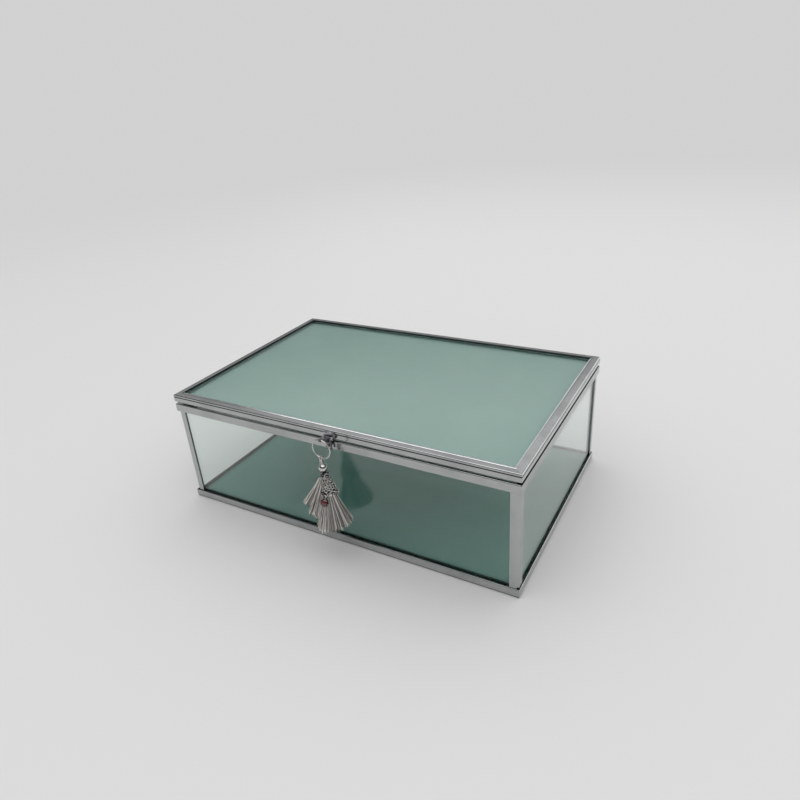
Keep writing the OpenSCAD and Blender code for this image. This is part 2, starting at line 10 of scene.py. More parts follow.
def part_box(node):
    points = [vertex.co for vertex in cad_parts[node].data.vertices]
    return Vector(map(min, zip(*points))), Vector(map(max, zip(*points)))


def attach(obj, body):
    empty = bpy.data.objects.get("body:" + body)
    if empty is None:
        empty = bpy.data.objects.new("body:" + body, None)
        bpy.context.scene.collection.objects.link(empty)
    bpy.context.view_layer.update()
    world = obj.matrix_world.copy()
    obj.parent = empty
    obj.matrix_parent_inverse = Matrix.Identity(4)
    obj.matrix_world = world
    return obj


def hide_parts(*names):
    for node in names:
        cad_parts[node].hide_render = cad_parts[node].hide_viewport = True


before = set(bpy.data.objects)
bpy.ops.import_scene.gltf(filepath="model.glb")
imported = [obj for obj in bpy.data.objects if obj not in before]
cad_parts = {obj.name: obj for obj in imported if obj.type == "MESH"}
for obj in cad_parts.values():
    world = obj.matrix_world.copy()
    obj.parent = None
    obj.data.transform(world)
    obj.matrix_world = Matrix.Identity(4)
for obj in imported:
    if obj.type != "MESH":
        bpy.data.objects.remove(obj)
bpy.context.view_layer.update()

MM = 0.001
X, Y, Z = 0, 1, 2

# Camera, fitted to the corners of the box
CAMERA_AT = Vector((170.76, -274.97, 214.32)) * MM
CAMERA_AZIMUTH = math.radians(30.952)
CAMERA_ELEVATION = math.radians(26.756)
CAMERA_ROLL = math.radians(-4.2405)
CAMERA_LENS = 28.74
CAMERA_SENSOR = 36.0
CAMERA_NEAR = 0.01

# Floor, and the background that it fades to
FLOOR_RADIUS = 4.0
FLOOR_SIDES = 96
FLOOR_DROP = 0.05 * MM
FLOOR_COLOUR = (0.68, 0.68, 0.675, 1)
FLOOR_ROUGHNESS = 0.6
FLOOR_FADE = (0.5, 1.6)
BACKGROUND = (0.64, 0.64, 0.645, 1)

# Room that metal and glass mirror: a pair is where a tone fades in, as a part of the unit direction
OVERHEAD = (1.6, 1.6, 1.6, 1)
OVERHEAD_FROM = (0.72, 0.88)
WALLS_FROM = (0.02, 0.14)
BEHIND_FROM = (-0.1, 0.4)
BACKDROP_LOW = (0.24, 0.24, 0.245, 1)
BACKDROP_LIT = (0.66, 0.66, 0.665, 1)
BACKDROP_TOP = (0.30, 0.30, 0.305, 1)
LIT_FROM = (0.33, 0.50)
LIT_TO = (0.58, 0.66)
FRONT_LOW = (0.05, 0.05, 0.05, 1)
FRONT_HIGH = (0.34, 0.34, 0.34, 1)
FRONT_FROM = (0.45, 0.75)
WINDOW = (2.4, 2.4, 2.4, 1)
WINDOW_SILL = (0.04, 0.08)
WINDOW_HEAD = (0.22, 0.28)
WINDOW_BEHIND = (0.5, 0.7)
WINDOW_LEFT = (-0.66, -0.58)

# Light on everything else: a fill that is brighter overhead, and one soft lamp
FILL_LOW = (0.48, 0.49, 0.49, 1)
FILL_HIGH = (1.10, 1.10, 1.10, 1)
FILL_FROM = (0.2, 0.7)
KEY_AT = Vector((0.05, 0.25, 1.1))
KEY_SIZE = 1.2
KEY_POWER = 1.65

# Polished frame: scales of a pattern are in cells to the metre, here and below
FRAME_BRIGHT = (0.49, 0.50, 0.50, 1)
FRAME_SMUDGED = (0.385, 0.395, 0.395, 1)
# Painted shade: a near-black laid on the frame in its bends, seams, groove and channels, where shade falls
FRAME_PAINTED_SHADE = (0.015, 0.025, 0.022, 1)
FRAME_ROUGHNESS = 0.07
GRAIN_ACROSS = 2600
GRAIN_ALONG = 45
GRAIN_DEPTH = 0.004 * MM
GRAIN_SHARE = 0.3
GRAIN_ROUGHNESS = 0.06
SMUDGE_SCALE = 55
SMUDGE_FROM = (0.42, 0.68)
SMUDGE_SHARE = 0.6
SMUDGE_ROUGHNESS = 0.07

# Clear glass
PANE_TINT = (0.94, 0.975, 0.96, 1)
BASE_TINT = (0.86, 0.995, 0.98, 1)
PANE_SHADOW = (0.80, 0.91, 0.88, 1)
LID_SHADOW = (0.98, 0.99, 0.985, 1)
GLASS_IOR = 1.5
BASE_IOR = 1.12
GLASS_EDGE = (0.004, 0.03, 0.022, 1)
EDGE_SCALE = 400
EDGE_ROUGHNESS = 0.2
EDGE_GLINT = 0.08

# Mint lining
MINT = (0.28, 0.43, 0.39, 1)
MINT_WORN = (0.325, 0.485, 0.437, 1)
MINT_CLOUD_SCALE = 28
MINT_CLOUD_FROM = (0.35, 0.7)
MINT_CLOUD_SHARE = 0.55
FIBRE_SCALE = (900, 260, 900)
FIBRE_SHARE = 0.35
TOOTH_SCALE = 1900
TOOTH_DEPTH = 0.03 * MM

# Blackened steel, and how much of each kind is rubbed bright
DARK_STEEL = (0.16, 0.16, 0.18, 1)
DARK_STEEL_WORN = (0.50, 0.50, 0.54, 1)
RUB_SCALE = 900
RUB_FROM = (0.5, 0.72)
STEEL_RUB = {"darkened_steel": -0.06, "rubbed_steel": 0.12}

# Silver, and how much of each kind is tarnished
SILVER = (0.66, 0.645, 0.62, 1)
SILVER_TARNISH = (0.035, 0.03, 0.028, 1)
SILVER_CELL_SCALE = 1100.0
SILVER_CELL_DEPTH = 0.12 * MM
SILVER_STAIN_SCALE = 700
SILVER_CLOUD_SCALE = 600
TARNISH_FROM = (0.85, 1.1)
TARNISH = {"plain_silver": -0.1, "worked_silver": 0.05, "dull_silver": 0.12, "tarnished_silver": 0.45}

# Stone and thread
RUBY = (0.07, 0.004, 0.005, 1)
RUBY_LIGHT = (0.20, 0.018, 0.018, 1)
RUBY_CLOUD_SCALE = 1300
RUBY_CLOUD_FROM = (0.4, 0.7)
RUBY_IOR = 1.7
THREAD_DARK = (0.09, 0.078, 0.076, 1)
THREAD_PALE = (0.78, 0.745, 0.71, 1)
THREAD_TWIST_SCALE = (2500, 2500, 900)

# Outer faces and tops of the rails, from the frame
HALF_SIZE = (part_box("bottom_rail_front")[1].x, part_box("bottom_rail_left")[1].y)
FOOT_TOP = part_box("bottom_rail_front")[1].z
CASE_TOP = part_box("top_rail_right")[1].z
LID_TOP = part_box("lid_rail_front")[1].z

# Painted shade, as bands of height: in the bottom rails' lower bend, by the floor, and along their hem; on
# the side top rails' upper edge, by the lid seam; and in the lid rails' groove
FOOT_PAINTED_SHADE = ((-1.0 * MM, 0.55 * MM), (FOOT_TOP, FOOT_TOP + 1.5 * MM))
TOP_PAINTED_SHADE = ((CASE_TOP - 0.2 * MM, CASE_TOP + 0.5 * MM),)
LID_PAINTED_SHADE = ((LID_TOP - 1.6 * MM, LID_TOP - 1.2 * MM),)
PAINTED_SHADE_FADE = 0.15 * MM

# Painted shade in channels: nearer the middle than this, along x and along y, and above this height
FOOT_CHANNEL = [(half - 1.15 * MM, -1.0 * MM) for half in HALF_SIZE]
LIP_CHANNEL = [(half - 3.1 * MM, LID_TOP - 0.5 * MM) for half in HALF_SIZE]

# Soft inner edge of the lid rails' lip: the right rail's is nearly flat, and that rail's colour is raised
# as painted light
LIP_EDGE = [half - 4.2 * MM for half in HALF_SIZE]
LIP_ROLL_W = 1.6 * MM
LIP_ROLL_H = 0.32 * MM
LIP_ROLL_RIGHT = 0.09 * MM
RIGHT_PAINTED_LIGHT = 1.25

# Tassel, as it hangs at a lean from the ring's lowest wire
TASSEL_LEAN = math.radians(7.0)
TASSEL_SHIFT = 1.2 * MM
RING_WIRE_R = 0.325 * MM
BEAD_BELOW = 3.555 * MM
NECK_R = 0.9 * MM
NECK_H = 2.5 * MM
BEAD_H = 4.1 * MM

# Its cap: a cone with pointed petals and rows of piercings
CAP_H = 13.4 * MM
CAP_TOP_R = 1.6 * MM
CAP_MOUTH_R = 4.6 * MM
CAP_SLOPE = (CAP_MOUTH_R - CAP_TOP_R) / CAP_H
FRONT_HEADING = -math.pi / 2
PETALS = 3
PETAL_RISE = 3.2 * MM
PIERCE_ROWS = 4
PIERCE_TURNS = 3
PIERCE_FIRST = 3.0 * MM
PIERCE_PITCH = 1.9 * MM
PIERCE_R = 0.42 * MM
PIERCE_GROW = 0.1 * MM

# Wire and grains on the cap and the neck
COIL_POINTS = 24
COIL_SIDES = 8
RING_POINTS = 18
RING_SIDES = 6
RING_OVER_HOLE = 1.2
RIM_POINTS = 160
RIM_LIFT = 0.08 * MM
GRAIN_FINENESS = 2

# Threads of the tassel
CORE_TOP = 1.1 * MM
ROOT_DEPTH = 12.4 * MM
CORE_INSET = 0.9 * MM
GOLDEN_ANGLE = math.pi * (3 - math.sqrt(5))
THREAD_POINTS = 9
THREAD_SIDES = 5
WAVE_TURN = 5.0
WAVE_TURN_SPREAD = 2.0
WAVE_FORWARD = 0.5
LOCK_SHADES = (0.3, 0.75)
LOCK_SHADE_SEED = 9

# Stray tufts: name, seed, reach from the axis, length, root below the cap's top, root from the axis
STRAY_WAY = Vector((-0.70, -0.714))
STRAY_TUFTS = (
    ("tassel_stray_threads", 23, 10.6 * MM, 15.0 * MM, 3.0 * MM, 2.6 * MM),
    ("tassel_side_threads", 31, 9.4 * MM, 18.0 * MM, 5.0 * MM, 2.4 * MM),
    ("tassel_near_threads", 37, 7.4 * MM, 18.2 * MM, 7.0 * MM, 1.5 * MM),
)


class Value:
    """A node's output that takes part in plain arithmetic."""

    def __init__(self, tree, socket):
        self.tree = tree
        self.socket = socket

    def other(self, name):
        """Another output of the same node."""
        return Value(self.tree, self.socket.node.outputs[name])

    def __add__(self, other):
        return self.tree.math("ADD", self, other)

    __radd__ = __add__

    def __sub__(self, other):
        return self.tree.math("SUBTRACT", self, other)

    def __rsub__(self, other):
        return self.tree.math("SUBTRACT", other, self)

    def __mul__(self, other):
        return self.tree.math("MULTIPLY", self, other)

    __rmul__ = __mul__

    def __truediv__(self, other):
        return self.tree.math("DIVIDE", self, other)

    def __rtruediv__(self, other):
        return self.tree.math("DIVIDE", other, self)

    def __pow__(self, other):
        return self.tree.math("POWER", self, other)

    def __mod__(self, other):
        return self.tree.math("FLOORED_MODULO", self, other)

    def __lt__(self, other):
        return self.tree.math("LESS_THAN", self, other)

    def __gt__(self, other):
        return self.tree.math("GREATER_THAN", self, other)

    def __abs__(self):
        return self.tree.math("ABSOLUTE", self)


class Tree:
    """A node tree, built up from expressions and one way to add any other node."""

    def __init__(self, tree):
        self.tree = tree
        tree.nodes.clear()

    def node(self, kind, settings=None, sockets=None, out=0):
        """Adds a node: its settings come first, then the values or links of its sockets."""
        made = self.tree.nodes.new(kind)
        for name, value in (settings or {}).items():
            setattr(made, name, value)
        for name, value in (sockets or {}).items():
            if isinstance(value, Value):
                self.tree.links.new(value.socket, made.inputs[name])
            else:
                made.inputs[name].default_value = value
        return Value(self, made.outputs[out]) if made.outputs else None

    def math(self, operation, *terms):
        return self.node("ShaderNodeMath", {"operation": operation}, dict(enumerate(terms)))

    def xyz(self, x, y, z):
        return self.node("ShaderNodeCombineXYZ", None, {"X": x, "Y": y, "Z": z})

    def blend(self, amount, first, second):
        """Mixes two colours."""
        return self.node("ShaderNodeMix", {"data_type": "RGBA"}, {0: amount, 6: first, 7: second}, out=2)

    def ease(self, value, low, high):
        """0 up to low, 1 from high, and smooth between."""
        return self.node(
            "ShaderNodeMapRange",
            {"interpolation_type": "SMOOTHSTEP"},
            {"Value": value, "From Min": low, "From Max": high},
        )


class Finish(Tree):
    """A material, read on the object's own coordinates."""

    def __init__(self, name):
        self.material = bpy.data.materials.new(name)
        self.material.use_nodes = True
        super().__init__(self.material.node_tree)

    def place(self, per_metre=(1, 1, 1)):
        """Object coordinates, with so many units to the metre along each axis."""
        where = self.node("ShaderNodeTexCoord", out="Object")
        return self.node("ShaderNodeMapping", None, {"Vector": where, "Scale": per_metre})

    def coordinate(self, axis):
        """One of the object coordinates."""
        return self.node("ShaderNodeSeparateXYZ", None, {"Vector": self.place()}, out=axis)

    def noise(self, where, scale, detail=2.0, roughness=0.5):
        sockets = {"Vector": where, "Scale": scale, "Detail": detail, "Roughness": roughness}
        return self.node("ShaderNodeTexNoise", None, sockets)

    def bump(self, height, distance, strength=1.0):
        sockets = {"Height": height, "Distance": distance, "Strength": strength}
        return self.node("ShaderNodeBump", None, sockets)

    def principled(self, sockets):
        return self.node("ShaderNodeBsdfPrincipled", None, sockets)

    def mix(self, amount, first, second):
        """Mixes two shaders."""
        return self.node("ShaderNodeMixShader", None, {0: amount, 1: first, 2: second})

    def cover(self, shader):
        """Ends the material with this shader."""
        self.node("ShaderNodeOutputMaterial", None, {"Surface": shader})
        return self.material


class Shaper(Tree):
    """A Geometry Nodes tree with named sizes, whose result is made a plain mesh."""

    def __init__(self, name, sizes):
        self.group = bpy.data.node_groups.new(name, "GeometryNodeTree")
        super().__init__(self.group)
        kinds = {int: "NodeSocketInt", float: "NodeSocketFloat"}
        self.identifiers = {}
        face = self.group.interface
        for label, example in sizes.items():
            socket = face.new_socket(label, in_out="INPUT", socket_type=kinds[type(example)])
            self.identifiers[label] = socket.identifier
        face.new_socket("Geometry", in_out="OUTPUT", socket_type="NodeSocketGeometry")
        self.sizes = self.tree.nodes.new("NodeGroupInput")

    def size(self, label):
        return Value(self, self.sizes.outputs[label])

    def random(self, low, high, who, seed):
        """A number for each piece, always the same for the same seed."""
        return self.node("FunctionNodeRandomValue", None, {2: low, 3: high, 7: who, 8: seed}, out=1)

    def even(self, curve, points):
        """The same curve with so many points, evenly spaced."""
        sockets = {"Curve": curve, "Count": points}
        return self.node("GeometryNodeResampleCurve", {"mode": "COUNT"}, sockets)

    def circle(self, points, radius):
        sockets = {"Resolution": points, "Radius": radius}
        return self.node("GeometryNodeCurvePrimitiveCircle", None, sockets)

    def tube(self, curve, sides, radius, caps=True):
        """A round section of so many sides, drawn along a curve."""
        section = self.circle(sides, radius)
        sockets = {"Curve": curve, "Profile Curve": section, "Fill Caps": caps}
        return self.node("GeometryNodeCurveToMesh", None, sockets)

    def grain(self, radius):
        """A small round grain."""
        sockets = {"Radius": radius, "Subdivisions": GRAIN_FINENESS}
        return self.node("GeometryNodeMeshIcoSphere", None, sockets)

    def join(self, *parts):
        """Several shapes as one."""
        joined = self.node("GeometryNodeJoinGeometry")
        for part in parts:
            self.tree.links.new(part.socket, joined.socket.node.inputs["Geometry"])
        return joined

    def close(self, geometry, material):
        """Ends the tree: instances made real, and one material."""
        real = self.node("GeometryNodeRealizeInstances", None, {"Geometry": geometry})
        made = self.node("GeometryNodeSetMaterial", None, {"Geometry": real, "Material": material})
        self.node("NodeGroupOutput", None, {"Geometry": made})

    def make(self, name, sizes):
        """Runs the tree with these sizes and returns its result as a piece."""
        host = bpy.data.objects.new(name + "_host", bpy.data.meshes.new(name + "_host"))
        bpy.context.scene.collection.objects.link(host)
        modifier = host.modifiers.new("shape", "NODES")
        modifier.node_group = self.group
        for label, value in sizes.items():
            modifier[self.identifiers[label]] = value
        graph = bpy.context.evaluated_depsgraph_get()
        mesh = bpy.data.meshes.new_from_object(host.evaluated_get(graph), depsgraph=graph)
        bpy.data.objects.remove(host)
        mesh.name = name
        piece = bpy.data.objects.new(name, mesh)
        bpy.context.scene.collection.objects.link(piece)
        return piece


def polished_frame(name, along, shade_bands=(), channel=None, roll=0, shine=1.0):
    """Polished sheet: grain along its length, smudges, painted shade in bands and a channel, a soft lip
    edge, shine as painted light.
    """
    finish = Finish(name)
    from_middle = abs(finish.coordinate(1 - along)) if channel or roll else None
    grain_scale = [GRAIN_ACROSS] * 3
    grain_scale[along] = GRAIN_ALONG
    grain = finish.noise(finish.place(grain_scale), 1.0, detail=3)
    smudge = finish.noise(finish.place(), SMUDGE_SCALE, detail=4, roughness=0.6)
    dull = finish.ease(smudge, *SMUDGE_FROM)
    # shine raises the colour: painted light, used on the right lid rail
    bright, smudged = ([shine * c for c in tone[:3]] + [1] for tone in (FRAME_BRIGHT, FRAME_SMUDGED))
    colour = finish.blend(dull * SMUDGE_SHARE + grain * GRAIN_SHARE, bright, smudged)
    # Painted shade: each band of height fades to near-black
    for low, high in shade_bands:
        height = finish.coordinate(Z)
        above_low = finish.ease(height, low - PAINTED_SHADE_FADE, low)
        above_high = finish.ease(height, high, high + PAINTED_SHADE_FADE)
        colour = finish.blend(above_low * (1 - above_high), colour, FRAME_PAINTED_SHADE)
    # Painted shade: the channel is laid in near-black
    if channel:
        within, above = channel
        in_channel = (from_middle < within) * (finish.coordinate(Z) > above)
        colour = finish.blend(in_channel, colour, FRAME_PAINTED_SHADE)
    relief = grain * GRAIN_DEPTH
    if roll:
        from_edge = from_middle - LIP_EDGE[1 - along]
        fall = finish.math("MAXIMUM", 1 - from_edge / LIP_ROLL_W, 0.0)
        relief = relief - fall ** 2 * roll
    shader = finish.principled(
        {
            "Base Color": colour,
            "Metallic": 1.0,
            "Roughness": FRAME_ROUGHNESS + dull * SMUDGE_ROUGHNESS + grain * GRAIN_ROUGHNESS,
            "Normal": finish.bump(relief, 1.0),
        }
    )
    return finish.cover(shader)


def clear_glass(name, across, tint, shadow, ior=GLASS_IOR):
    """Float glass: clear through its faces, dark green at its cut edges; lamps shine through it."""
    finish = Finish(name)
    normal = finish.node("ShaderNodeNewGeometry", out="Normal")
    facing = abs(finish.node("ShaderNodeSeparateXYZ", None, {"Vector": normal}, out=across))
    clear = finish.principled(
        {
            "Base Color": tint,
            "Roughness": 0.0,
            "IOR": ior,
            "Transmission Weight": 1.0,
        }
    )
    shade = finish.node("ShaderNodeBsdfTransparent", None, {"Color": shadow})
    in_shadow = finish.node("ShaderNodeLightPath", out="Is Shadow Ray")
    pane = finish.mix(in_shadow, clear, shade)
    cut = finish.noise(finish.place(), EDGE_SCALE, detail=2)
    edge = finish.principled(
        {
            "Base Color": GLASS_EDGE,
            "Roughness": EDGE_ROUGHNESS + cut * EDGE_ROUGHNESS,
            "Specular IOR Level": EDGE_GLINT,
        }
    )
    return finish.cover(finish.mix(facing < 0.5, pane, edge))


def mint_lining():
    """Mint paper: cloudy, with short pale fibres and a dry, slightly rough face."""
    finish = Finish("mint_lining")
    clouds = finish.noise(finish.place(), MINT_CLOUD_SCALE, detail=5, roughness=0.6)
    cloud = finish.ease(clouds, *MINT_CLOUD_FROM)
    fibre = finish.noise(finish.place(FIBRE_SCALE), 1.0, detail=3)
    tooth = finish.noise(finish.place(), TOOTH_SCALE, detail=2)
    shader = finish.principled(
        {
            "Base Color": finish.blend(cloud * MINT_CLOUD_SHARE + fibre * FIBRE_SHARE, MINT, MINT_WORN),
            "Roughness": 0.72 + tooth * 0.2,
            "Normal": finish.bump(tooth + fibre, TOOTH_DEPTH, 0.5),
        }
    )
    return finish.cover(shader)


def darkened_steel(name):
    """Blackened steel, rubbed bright in patches."""
    finish = Finish(name)
    patches = finish.noise(finish.place(), RUB_SCALE, detail=3)
    rubbed = finish.ease(patches, *(edge - STEEL_RUB[name] for edge in RUB_FROM))
    shader = finish.principled(
        {
            "Base Color": finish.blend(rubbed, DARK_STEEL, DARK_STEEL_WORN),
            "Metallic": 1.0,
            "Roughness": 0.42 - rubbed * 0.16,
        }
    )
    return finish.cover(shader)


def antique_silver(name):
    """Silver with dark tarnish in the low spots of a grained surface."""
    finish = Finish(name)
    cells = finish.node(
        "ShaderNodeTexVoronoi",
        {"feature": "SMOOTH_F1"},
        {"Vector": finish.place(), "Scale": SILVER_CELL_SCALE},
    )
    stain = finish.noise(finish.place(), SILVER_STAIN_SCALE, detail=3)
    low = finish.ease(cells * 0.7 + stain * 0.6, *(edge - TARNISH[name] for edge in TARNISH_FROM))
    shader = finish.principled(
        {
            "Base Color": finish.blend(low, SILVER, SILVER_TARNISH),
            "Metallic": 1.0,
            "Roughness": 0.2 + low * 0.35,
            "Normal": finish.bump(1 - cells, SILVER_CELL_DEPTH, 0.6),
        }
    )
    return finish.cover(shader)


def bright_silver():
    """Polished silver, faintly clouded."""
    finish = Finish("bright_silver")
    cloud = finish.noise(finish.place(), SILVER_CLOUD_SCALE)
    shader = finish.principled(
        {
            "Base Color": SILVER,
            "Metallic": 1.0,
            "Roughness": 0.05 + cloud * 0.08,
        }
    )
    return finish.cover(shader)


def red_stone():
    """Deep red polished stone with lighter clouds inside."""
    finish = Finish("red_stone")
    cloud = finish.ease(finish.noise(finish.place(), RUBY_CLOUD_SCALE, detail=3), *RUBY_CLOUD_FROM)
    shader = finish.principled(
        {
            "Base Color": finish.blend(cloud, RUBY, RUBY_LIGHT),
            "Roughness": 0.12,
            "IOR": RUBY_IOR,
            "Coat Weight": 0.5,
            "Coat Roughness": 0.04,
        }
    )
    return finish.cover(shader)


def silver_thread():
    """Silky grey thread, each lock of a random tone from near-black to pale; the dark locks are partly
    painted shade between strands.
    """
    finish = Finish("silver_thread")
    shade = finish.node("ShaderNodeAttribute", {"attribute_name": "thread_shade"}, out="Fac")
    twist = finish.noise(finish.place(THREAD_TWIST_SCALE), 1.0, detail=2)
    shader = finish.principled(
        {
            "Base Color": finish.blend(shade * 0.9 + twist * 0.15, THREAD_DARK, THREAD_PALE),
            "Roughness": 0.38 + twist * 0.2,
            "Specular IOR Level": 0.6,
            "Sheen Weight": 0.3,
        }
    )
    return finish.cover(shader)


def thread_shaper(material):
    """Threads that leave a disc of roots in small locks, fan out, and end unevenly."""
    sizes = {
        "Threads": 1, "Locks": 1, "Seed": 1,
        "Root X": 0.0, "Root Y": 0.0, "Root Z": 0.0, "Root radius": 0.0,
        "Length": 0.0, "Ragged": 0.0,
        "Side": 0.0, "Front": 0.0, "Back": 0.0, "Lean X": 0.0, "Lean Y": 0.0,
        "Flare": 0.0, "Lock spread": 0.0, "Wave": 0.0, "Thread radius": 0.0,
    }
    shaper = Shaper("tassel_threads", sizes)
    size = shaper.size
    straight = shaper.node("GeometryNodeCurvePrimitiveLine")
    fine = shaper.even(straight, THREAD_POINTS)
    copies = shaper.node(
        "GeometryNodeDuplicateElements",
        {"domain": "SPLINE"},
        {"Geometry": fine, "Amount": size("Threads")},
    )
    which = copies.other("Duplicate Index")
    along = shaper.node("GeometryNodeSplineParameter", out="Factor")
    lock = which % size("Locks")
    share = ((lock + 0.5) / size("Locks")) ** 0.5
    turn = lock * GOLDEN_ANGLE
    own = [shaper.random(-1.0, 1.0, which, size("Seed") + k) for k in range(6)]
    across = share * shaper.math("COSINE", turn) + own[0] * size("Lock spread")
    depth = share * shaper.math("SINE", turn) + own[1] * size("Lock spread")
    toward_glass = depth > 0
    reach = size("Back") * toward_glass + size("Front") * (1 - toward_glass)
    out_x = across * size("Side") + size("Lean X")
    out_y = depth * reach + size("Lean Y")
    root_x = across * size("Root radius") + size("Root X")
    root_y = depth * size("Root radius") + size("Root Y")
    splay_x = out_x - root_x
    splay_y = out_y - root_y
    length = size("Length") - size("Ragged") * abs(own[2])
    drop = (length ** 2 - splay_x ** 2 - splay_y ** 2) ** 0.5
    fan = along ** size("Flare")
    wave_turn = WAVE_TURN + own[3] * WAVE_TURN_SPREAD
    wave = size("Wave") * along * shaper.math("SINE", along * wave_turn + own[4] * math.pi)
    place = shaper.xyz(
        root_x + splay_x * fan + wave * own[5],
        root_y + splay_y * fan - abs(wave) * WAVE_FORWARD,
        size("Root Z") - drop * along,
    )
    bent = shaper.node("GeometryNodeSetPosition", None, {"Geometry": copies, "Position": place})
    # A random tone for each lock, partly real tone and partly painted shade: the dark locks stand for
    # shade between strands
    shade = shaper.ease(shaper.random(0.0, 1.0, lock, size("Seed") + LOCK_SHADE_SEED), *LOCK_SHADES)
    shaded = shaper.node(
        "GeometryNodeStoreNamedAttribute",
        {"data_type": "FLOAT", "domain": "POINT"},
        {"Geometry": bent, "Name": "thread_shade", "Value": shade},
    )
    shaper.close(shaper.tube(shaded, THREAD_SIDES, size("Thread radius")), material)
    return shaper


def hang(piece):
    """Carries a piece made about the cap's top middle to its place on the leaning tassel."""
    low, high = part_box("jump_ring")
    ring_r = (high.x - low.x) / 2 - RING_WIRE_R
    hang_below = math.sqrt(ring_r ** 2 - TASSEL_SHIFT ** 2)
    wire = (low + high) / 2 - Vector((TASSEL_SHIFT, 0, hang_below))
    lean = Matrix.Rotation(-TASSEL_LEAN, 4, "Y")
    cap_top = Matrix.Translation((0, 0, -BEAD_BELOW - BEAD_H))
    piece.data.transform(Matrix.Translation(wire) @ lean @ cap_top)
    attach(piece, "tassel")


def hang_the_threads(material):
    """The fringe, tufts that stray out to the left of the cap, and the bound head inside the cap."""
    shaper = thread_shaper(material)
    fringe = {
        "Threads": 680, "Locks": 340, "Seed": 11,
        "Root X": 0.0, "Root Y": 0.0, "Root Z": -8.0 * MM, "Root radius": 2.4 * MM,
        "Length": 23.0 * MM, "Ragged": 2.6 * MM,
        "Side": 9.4 * MM, "Front": 10.2 * MM, "Back": 7.6 * MM, "Lean X": -0.2 * MM, "Lean Y": 0.0,
        "Flare": 1.3, "Lock spread": 0.012, "Wave": 0.45 * MM, "Thread radius": 0.115 * MM,
    }
    tufts = []
    for name, seed, reach, length, root_depth, root_out in STRAY_TUFTS:
        tuft = dict(fringe)
        root, lean = root_out * STRAY_WAY, reach * STRAY_WAY
        tuft.update({
            "Threads": 84, "Locks": 42, "Seed": seed,
            "Root X": root.x, "Root Y": root.y, "Root Z": -root_depth, "Root radius": 0.8 * MM,
            "Length": length, "Ragged": 1.8 * MM,
            "Side": 2.6 * MM, "Front": 2.6 * MM, "Back": 2.6 * MM, "Lean X": lean.x, "Lean Y": lean.y,
            "Flare": 1.15, "Lock spread": 0.05,
        })
        tufts.append((name, tuft, None))
    head = dict(fringe)
    foot_r = CAP_TOP_R + ROOT_DEPTH * CAP_SLOPE - CORE_INSET
    head.update({
        "Threads": 190, "Locks": 190, "Seed": 5,
        "Root Z": -CORE_TOP, "Root radius": CAP_TOP_R + CORE_TOP * CAP_SLOPE - CORE_INSET,
        "Length": 11.4 * MM, "Ragged": 0.0,
        "Side": foot_r, "Front": foot_r, "Back": foot_r, "Lean X": 0.0,
        "Flare": 1.0, "Lock spread": 0.0, "Wave": 0.0, "Thread radius": 0.25 * MM,
    })
    for name, sizes, solid in (
        ("tassel_threads", fringe, "tassel_fringe"),
        ("tassel_bound_head", head, "tassel_core"),
        *tufts,
    ):
        piece = shaper.make(name, sizes)
        hang(piece)
        if solid:
            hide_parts(solid)


def wrap_the_neck(material):
    """Wire wound in touching turns round the eye pin, over the bead."""
    sizes = {"Turns": 7.5, "Radius": NECK_R, "Height": NECK_H, "Wire radius": 0.15 * MM}
    shaper = Shaper("neck_wrap", sizes)
    size = shaper.size
    coil = shaper.node(
        "GeometryNodeCurveSpiral",
        None,
        {
            "Resolution": COIL_POINTS,
            "Rotations": size("Turns"),
            "Start Radius": size("Radius"),
            "End Radius": size("Radius"),
            "Height": size("Height"),
        },
    )
    shaper.close(shaper.tube(coil, COIL_SIDES, size("Wire radius")), material)
    wrap = shaper.make("neck_wrap", sizes)
    wrap.data.transform(Matrix.Translation((0, 0, BEAD_H)))
    hang(wrap)


def on_the_cap(shaper, angle, depth, lift):
    """A place on the cap's cone, at an angle from its front petal, and the cone's outward normal there."""
    radius = CAP_TOP_R + depth * CAP_SLOPE + lift
    heading = angle + FRONT_HEADING
    heading_x, heading_y = shaper.math("COSINE", heading), shaper.math("SINE", heading)
    place = shaper.xyz(radius * heading_x, radius * heading_y, 0 - depth)
    return place, shaper.xyz(heading_x, heading_y, CAP_SLOPE)


def bead_the_rim(material):
    """A row of grains along the scalloped edge of the petals."""
    sizes = {"Grains": 84, "Grain radius": 0.24 * MM, "Set back": 0.28 * MM}
    shaper = Shaper("beaded_rim", sizes)
    chord = CAP_MOUTH_R * math.cos(math.pi / PETALS)
    steep = PETAL_RISE / (CAP_MOUTH_R - PETAL_RISE * CAP_SLOPE - chord)
    loop = shaper.circle(RIM_POINTS, 1.0)
    turn = shaper.node("GeometryNodeSplineParameter", out="Factor") * (2 * math.pi)
    within = turn % (2 * math.pi / PETALS) - math.pi / PETALS
    lean = shaper.math("COSINE", within)
    depth = (CAP_H + steep * (chord - lean * CAP_TOP_R)) / (1 + lean * (steep * CAP_SLOPE))
    place, _ = on_the_cap(shaper, turn, depth - shaper.size("Set back"), RIM_LIFT)
    edge = shaper.node("GeometryNodeSetPosition", None, {"Geometry": loop, "Position": place})
    even = shaper.even(edge, shaper.size("Grains"))
    grain = shaper.grain(shaper.size("Grain radius"))
    row = shaper.node("GeometryNodeInstanceOnPoints", None, {"Points": even, "Instance": grain})
    shaper.close(row, material)
    hang(shaper.make("cap_beaded_rim", sizes))


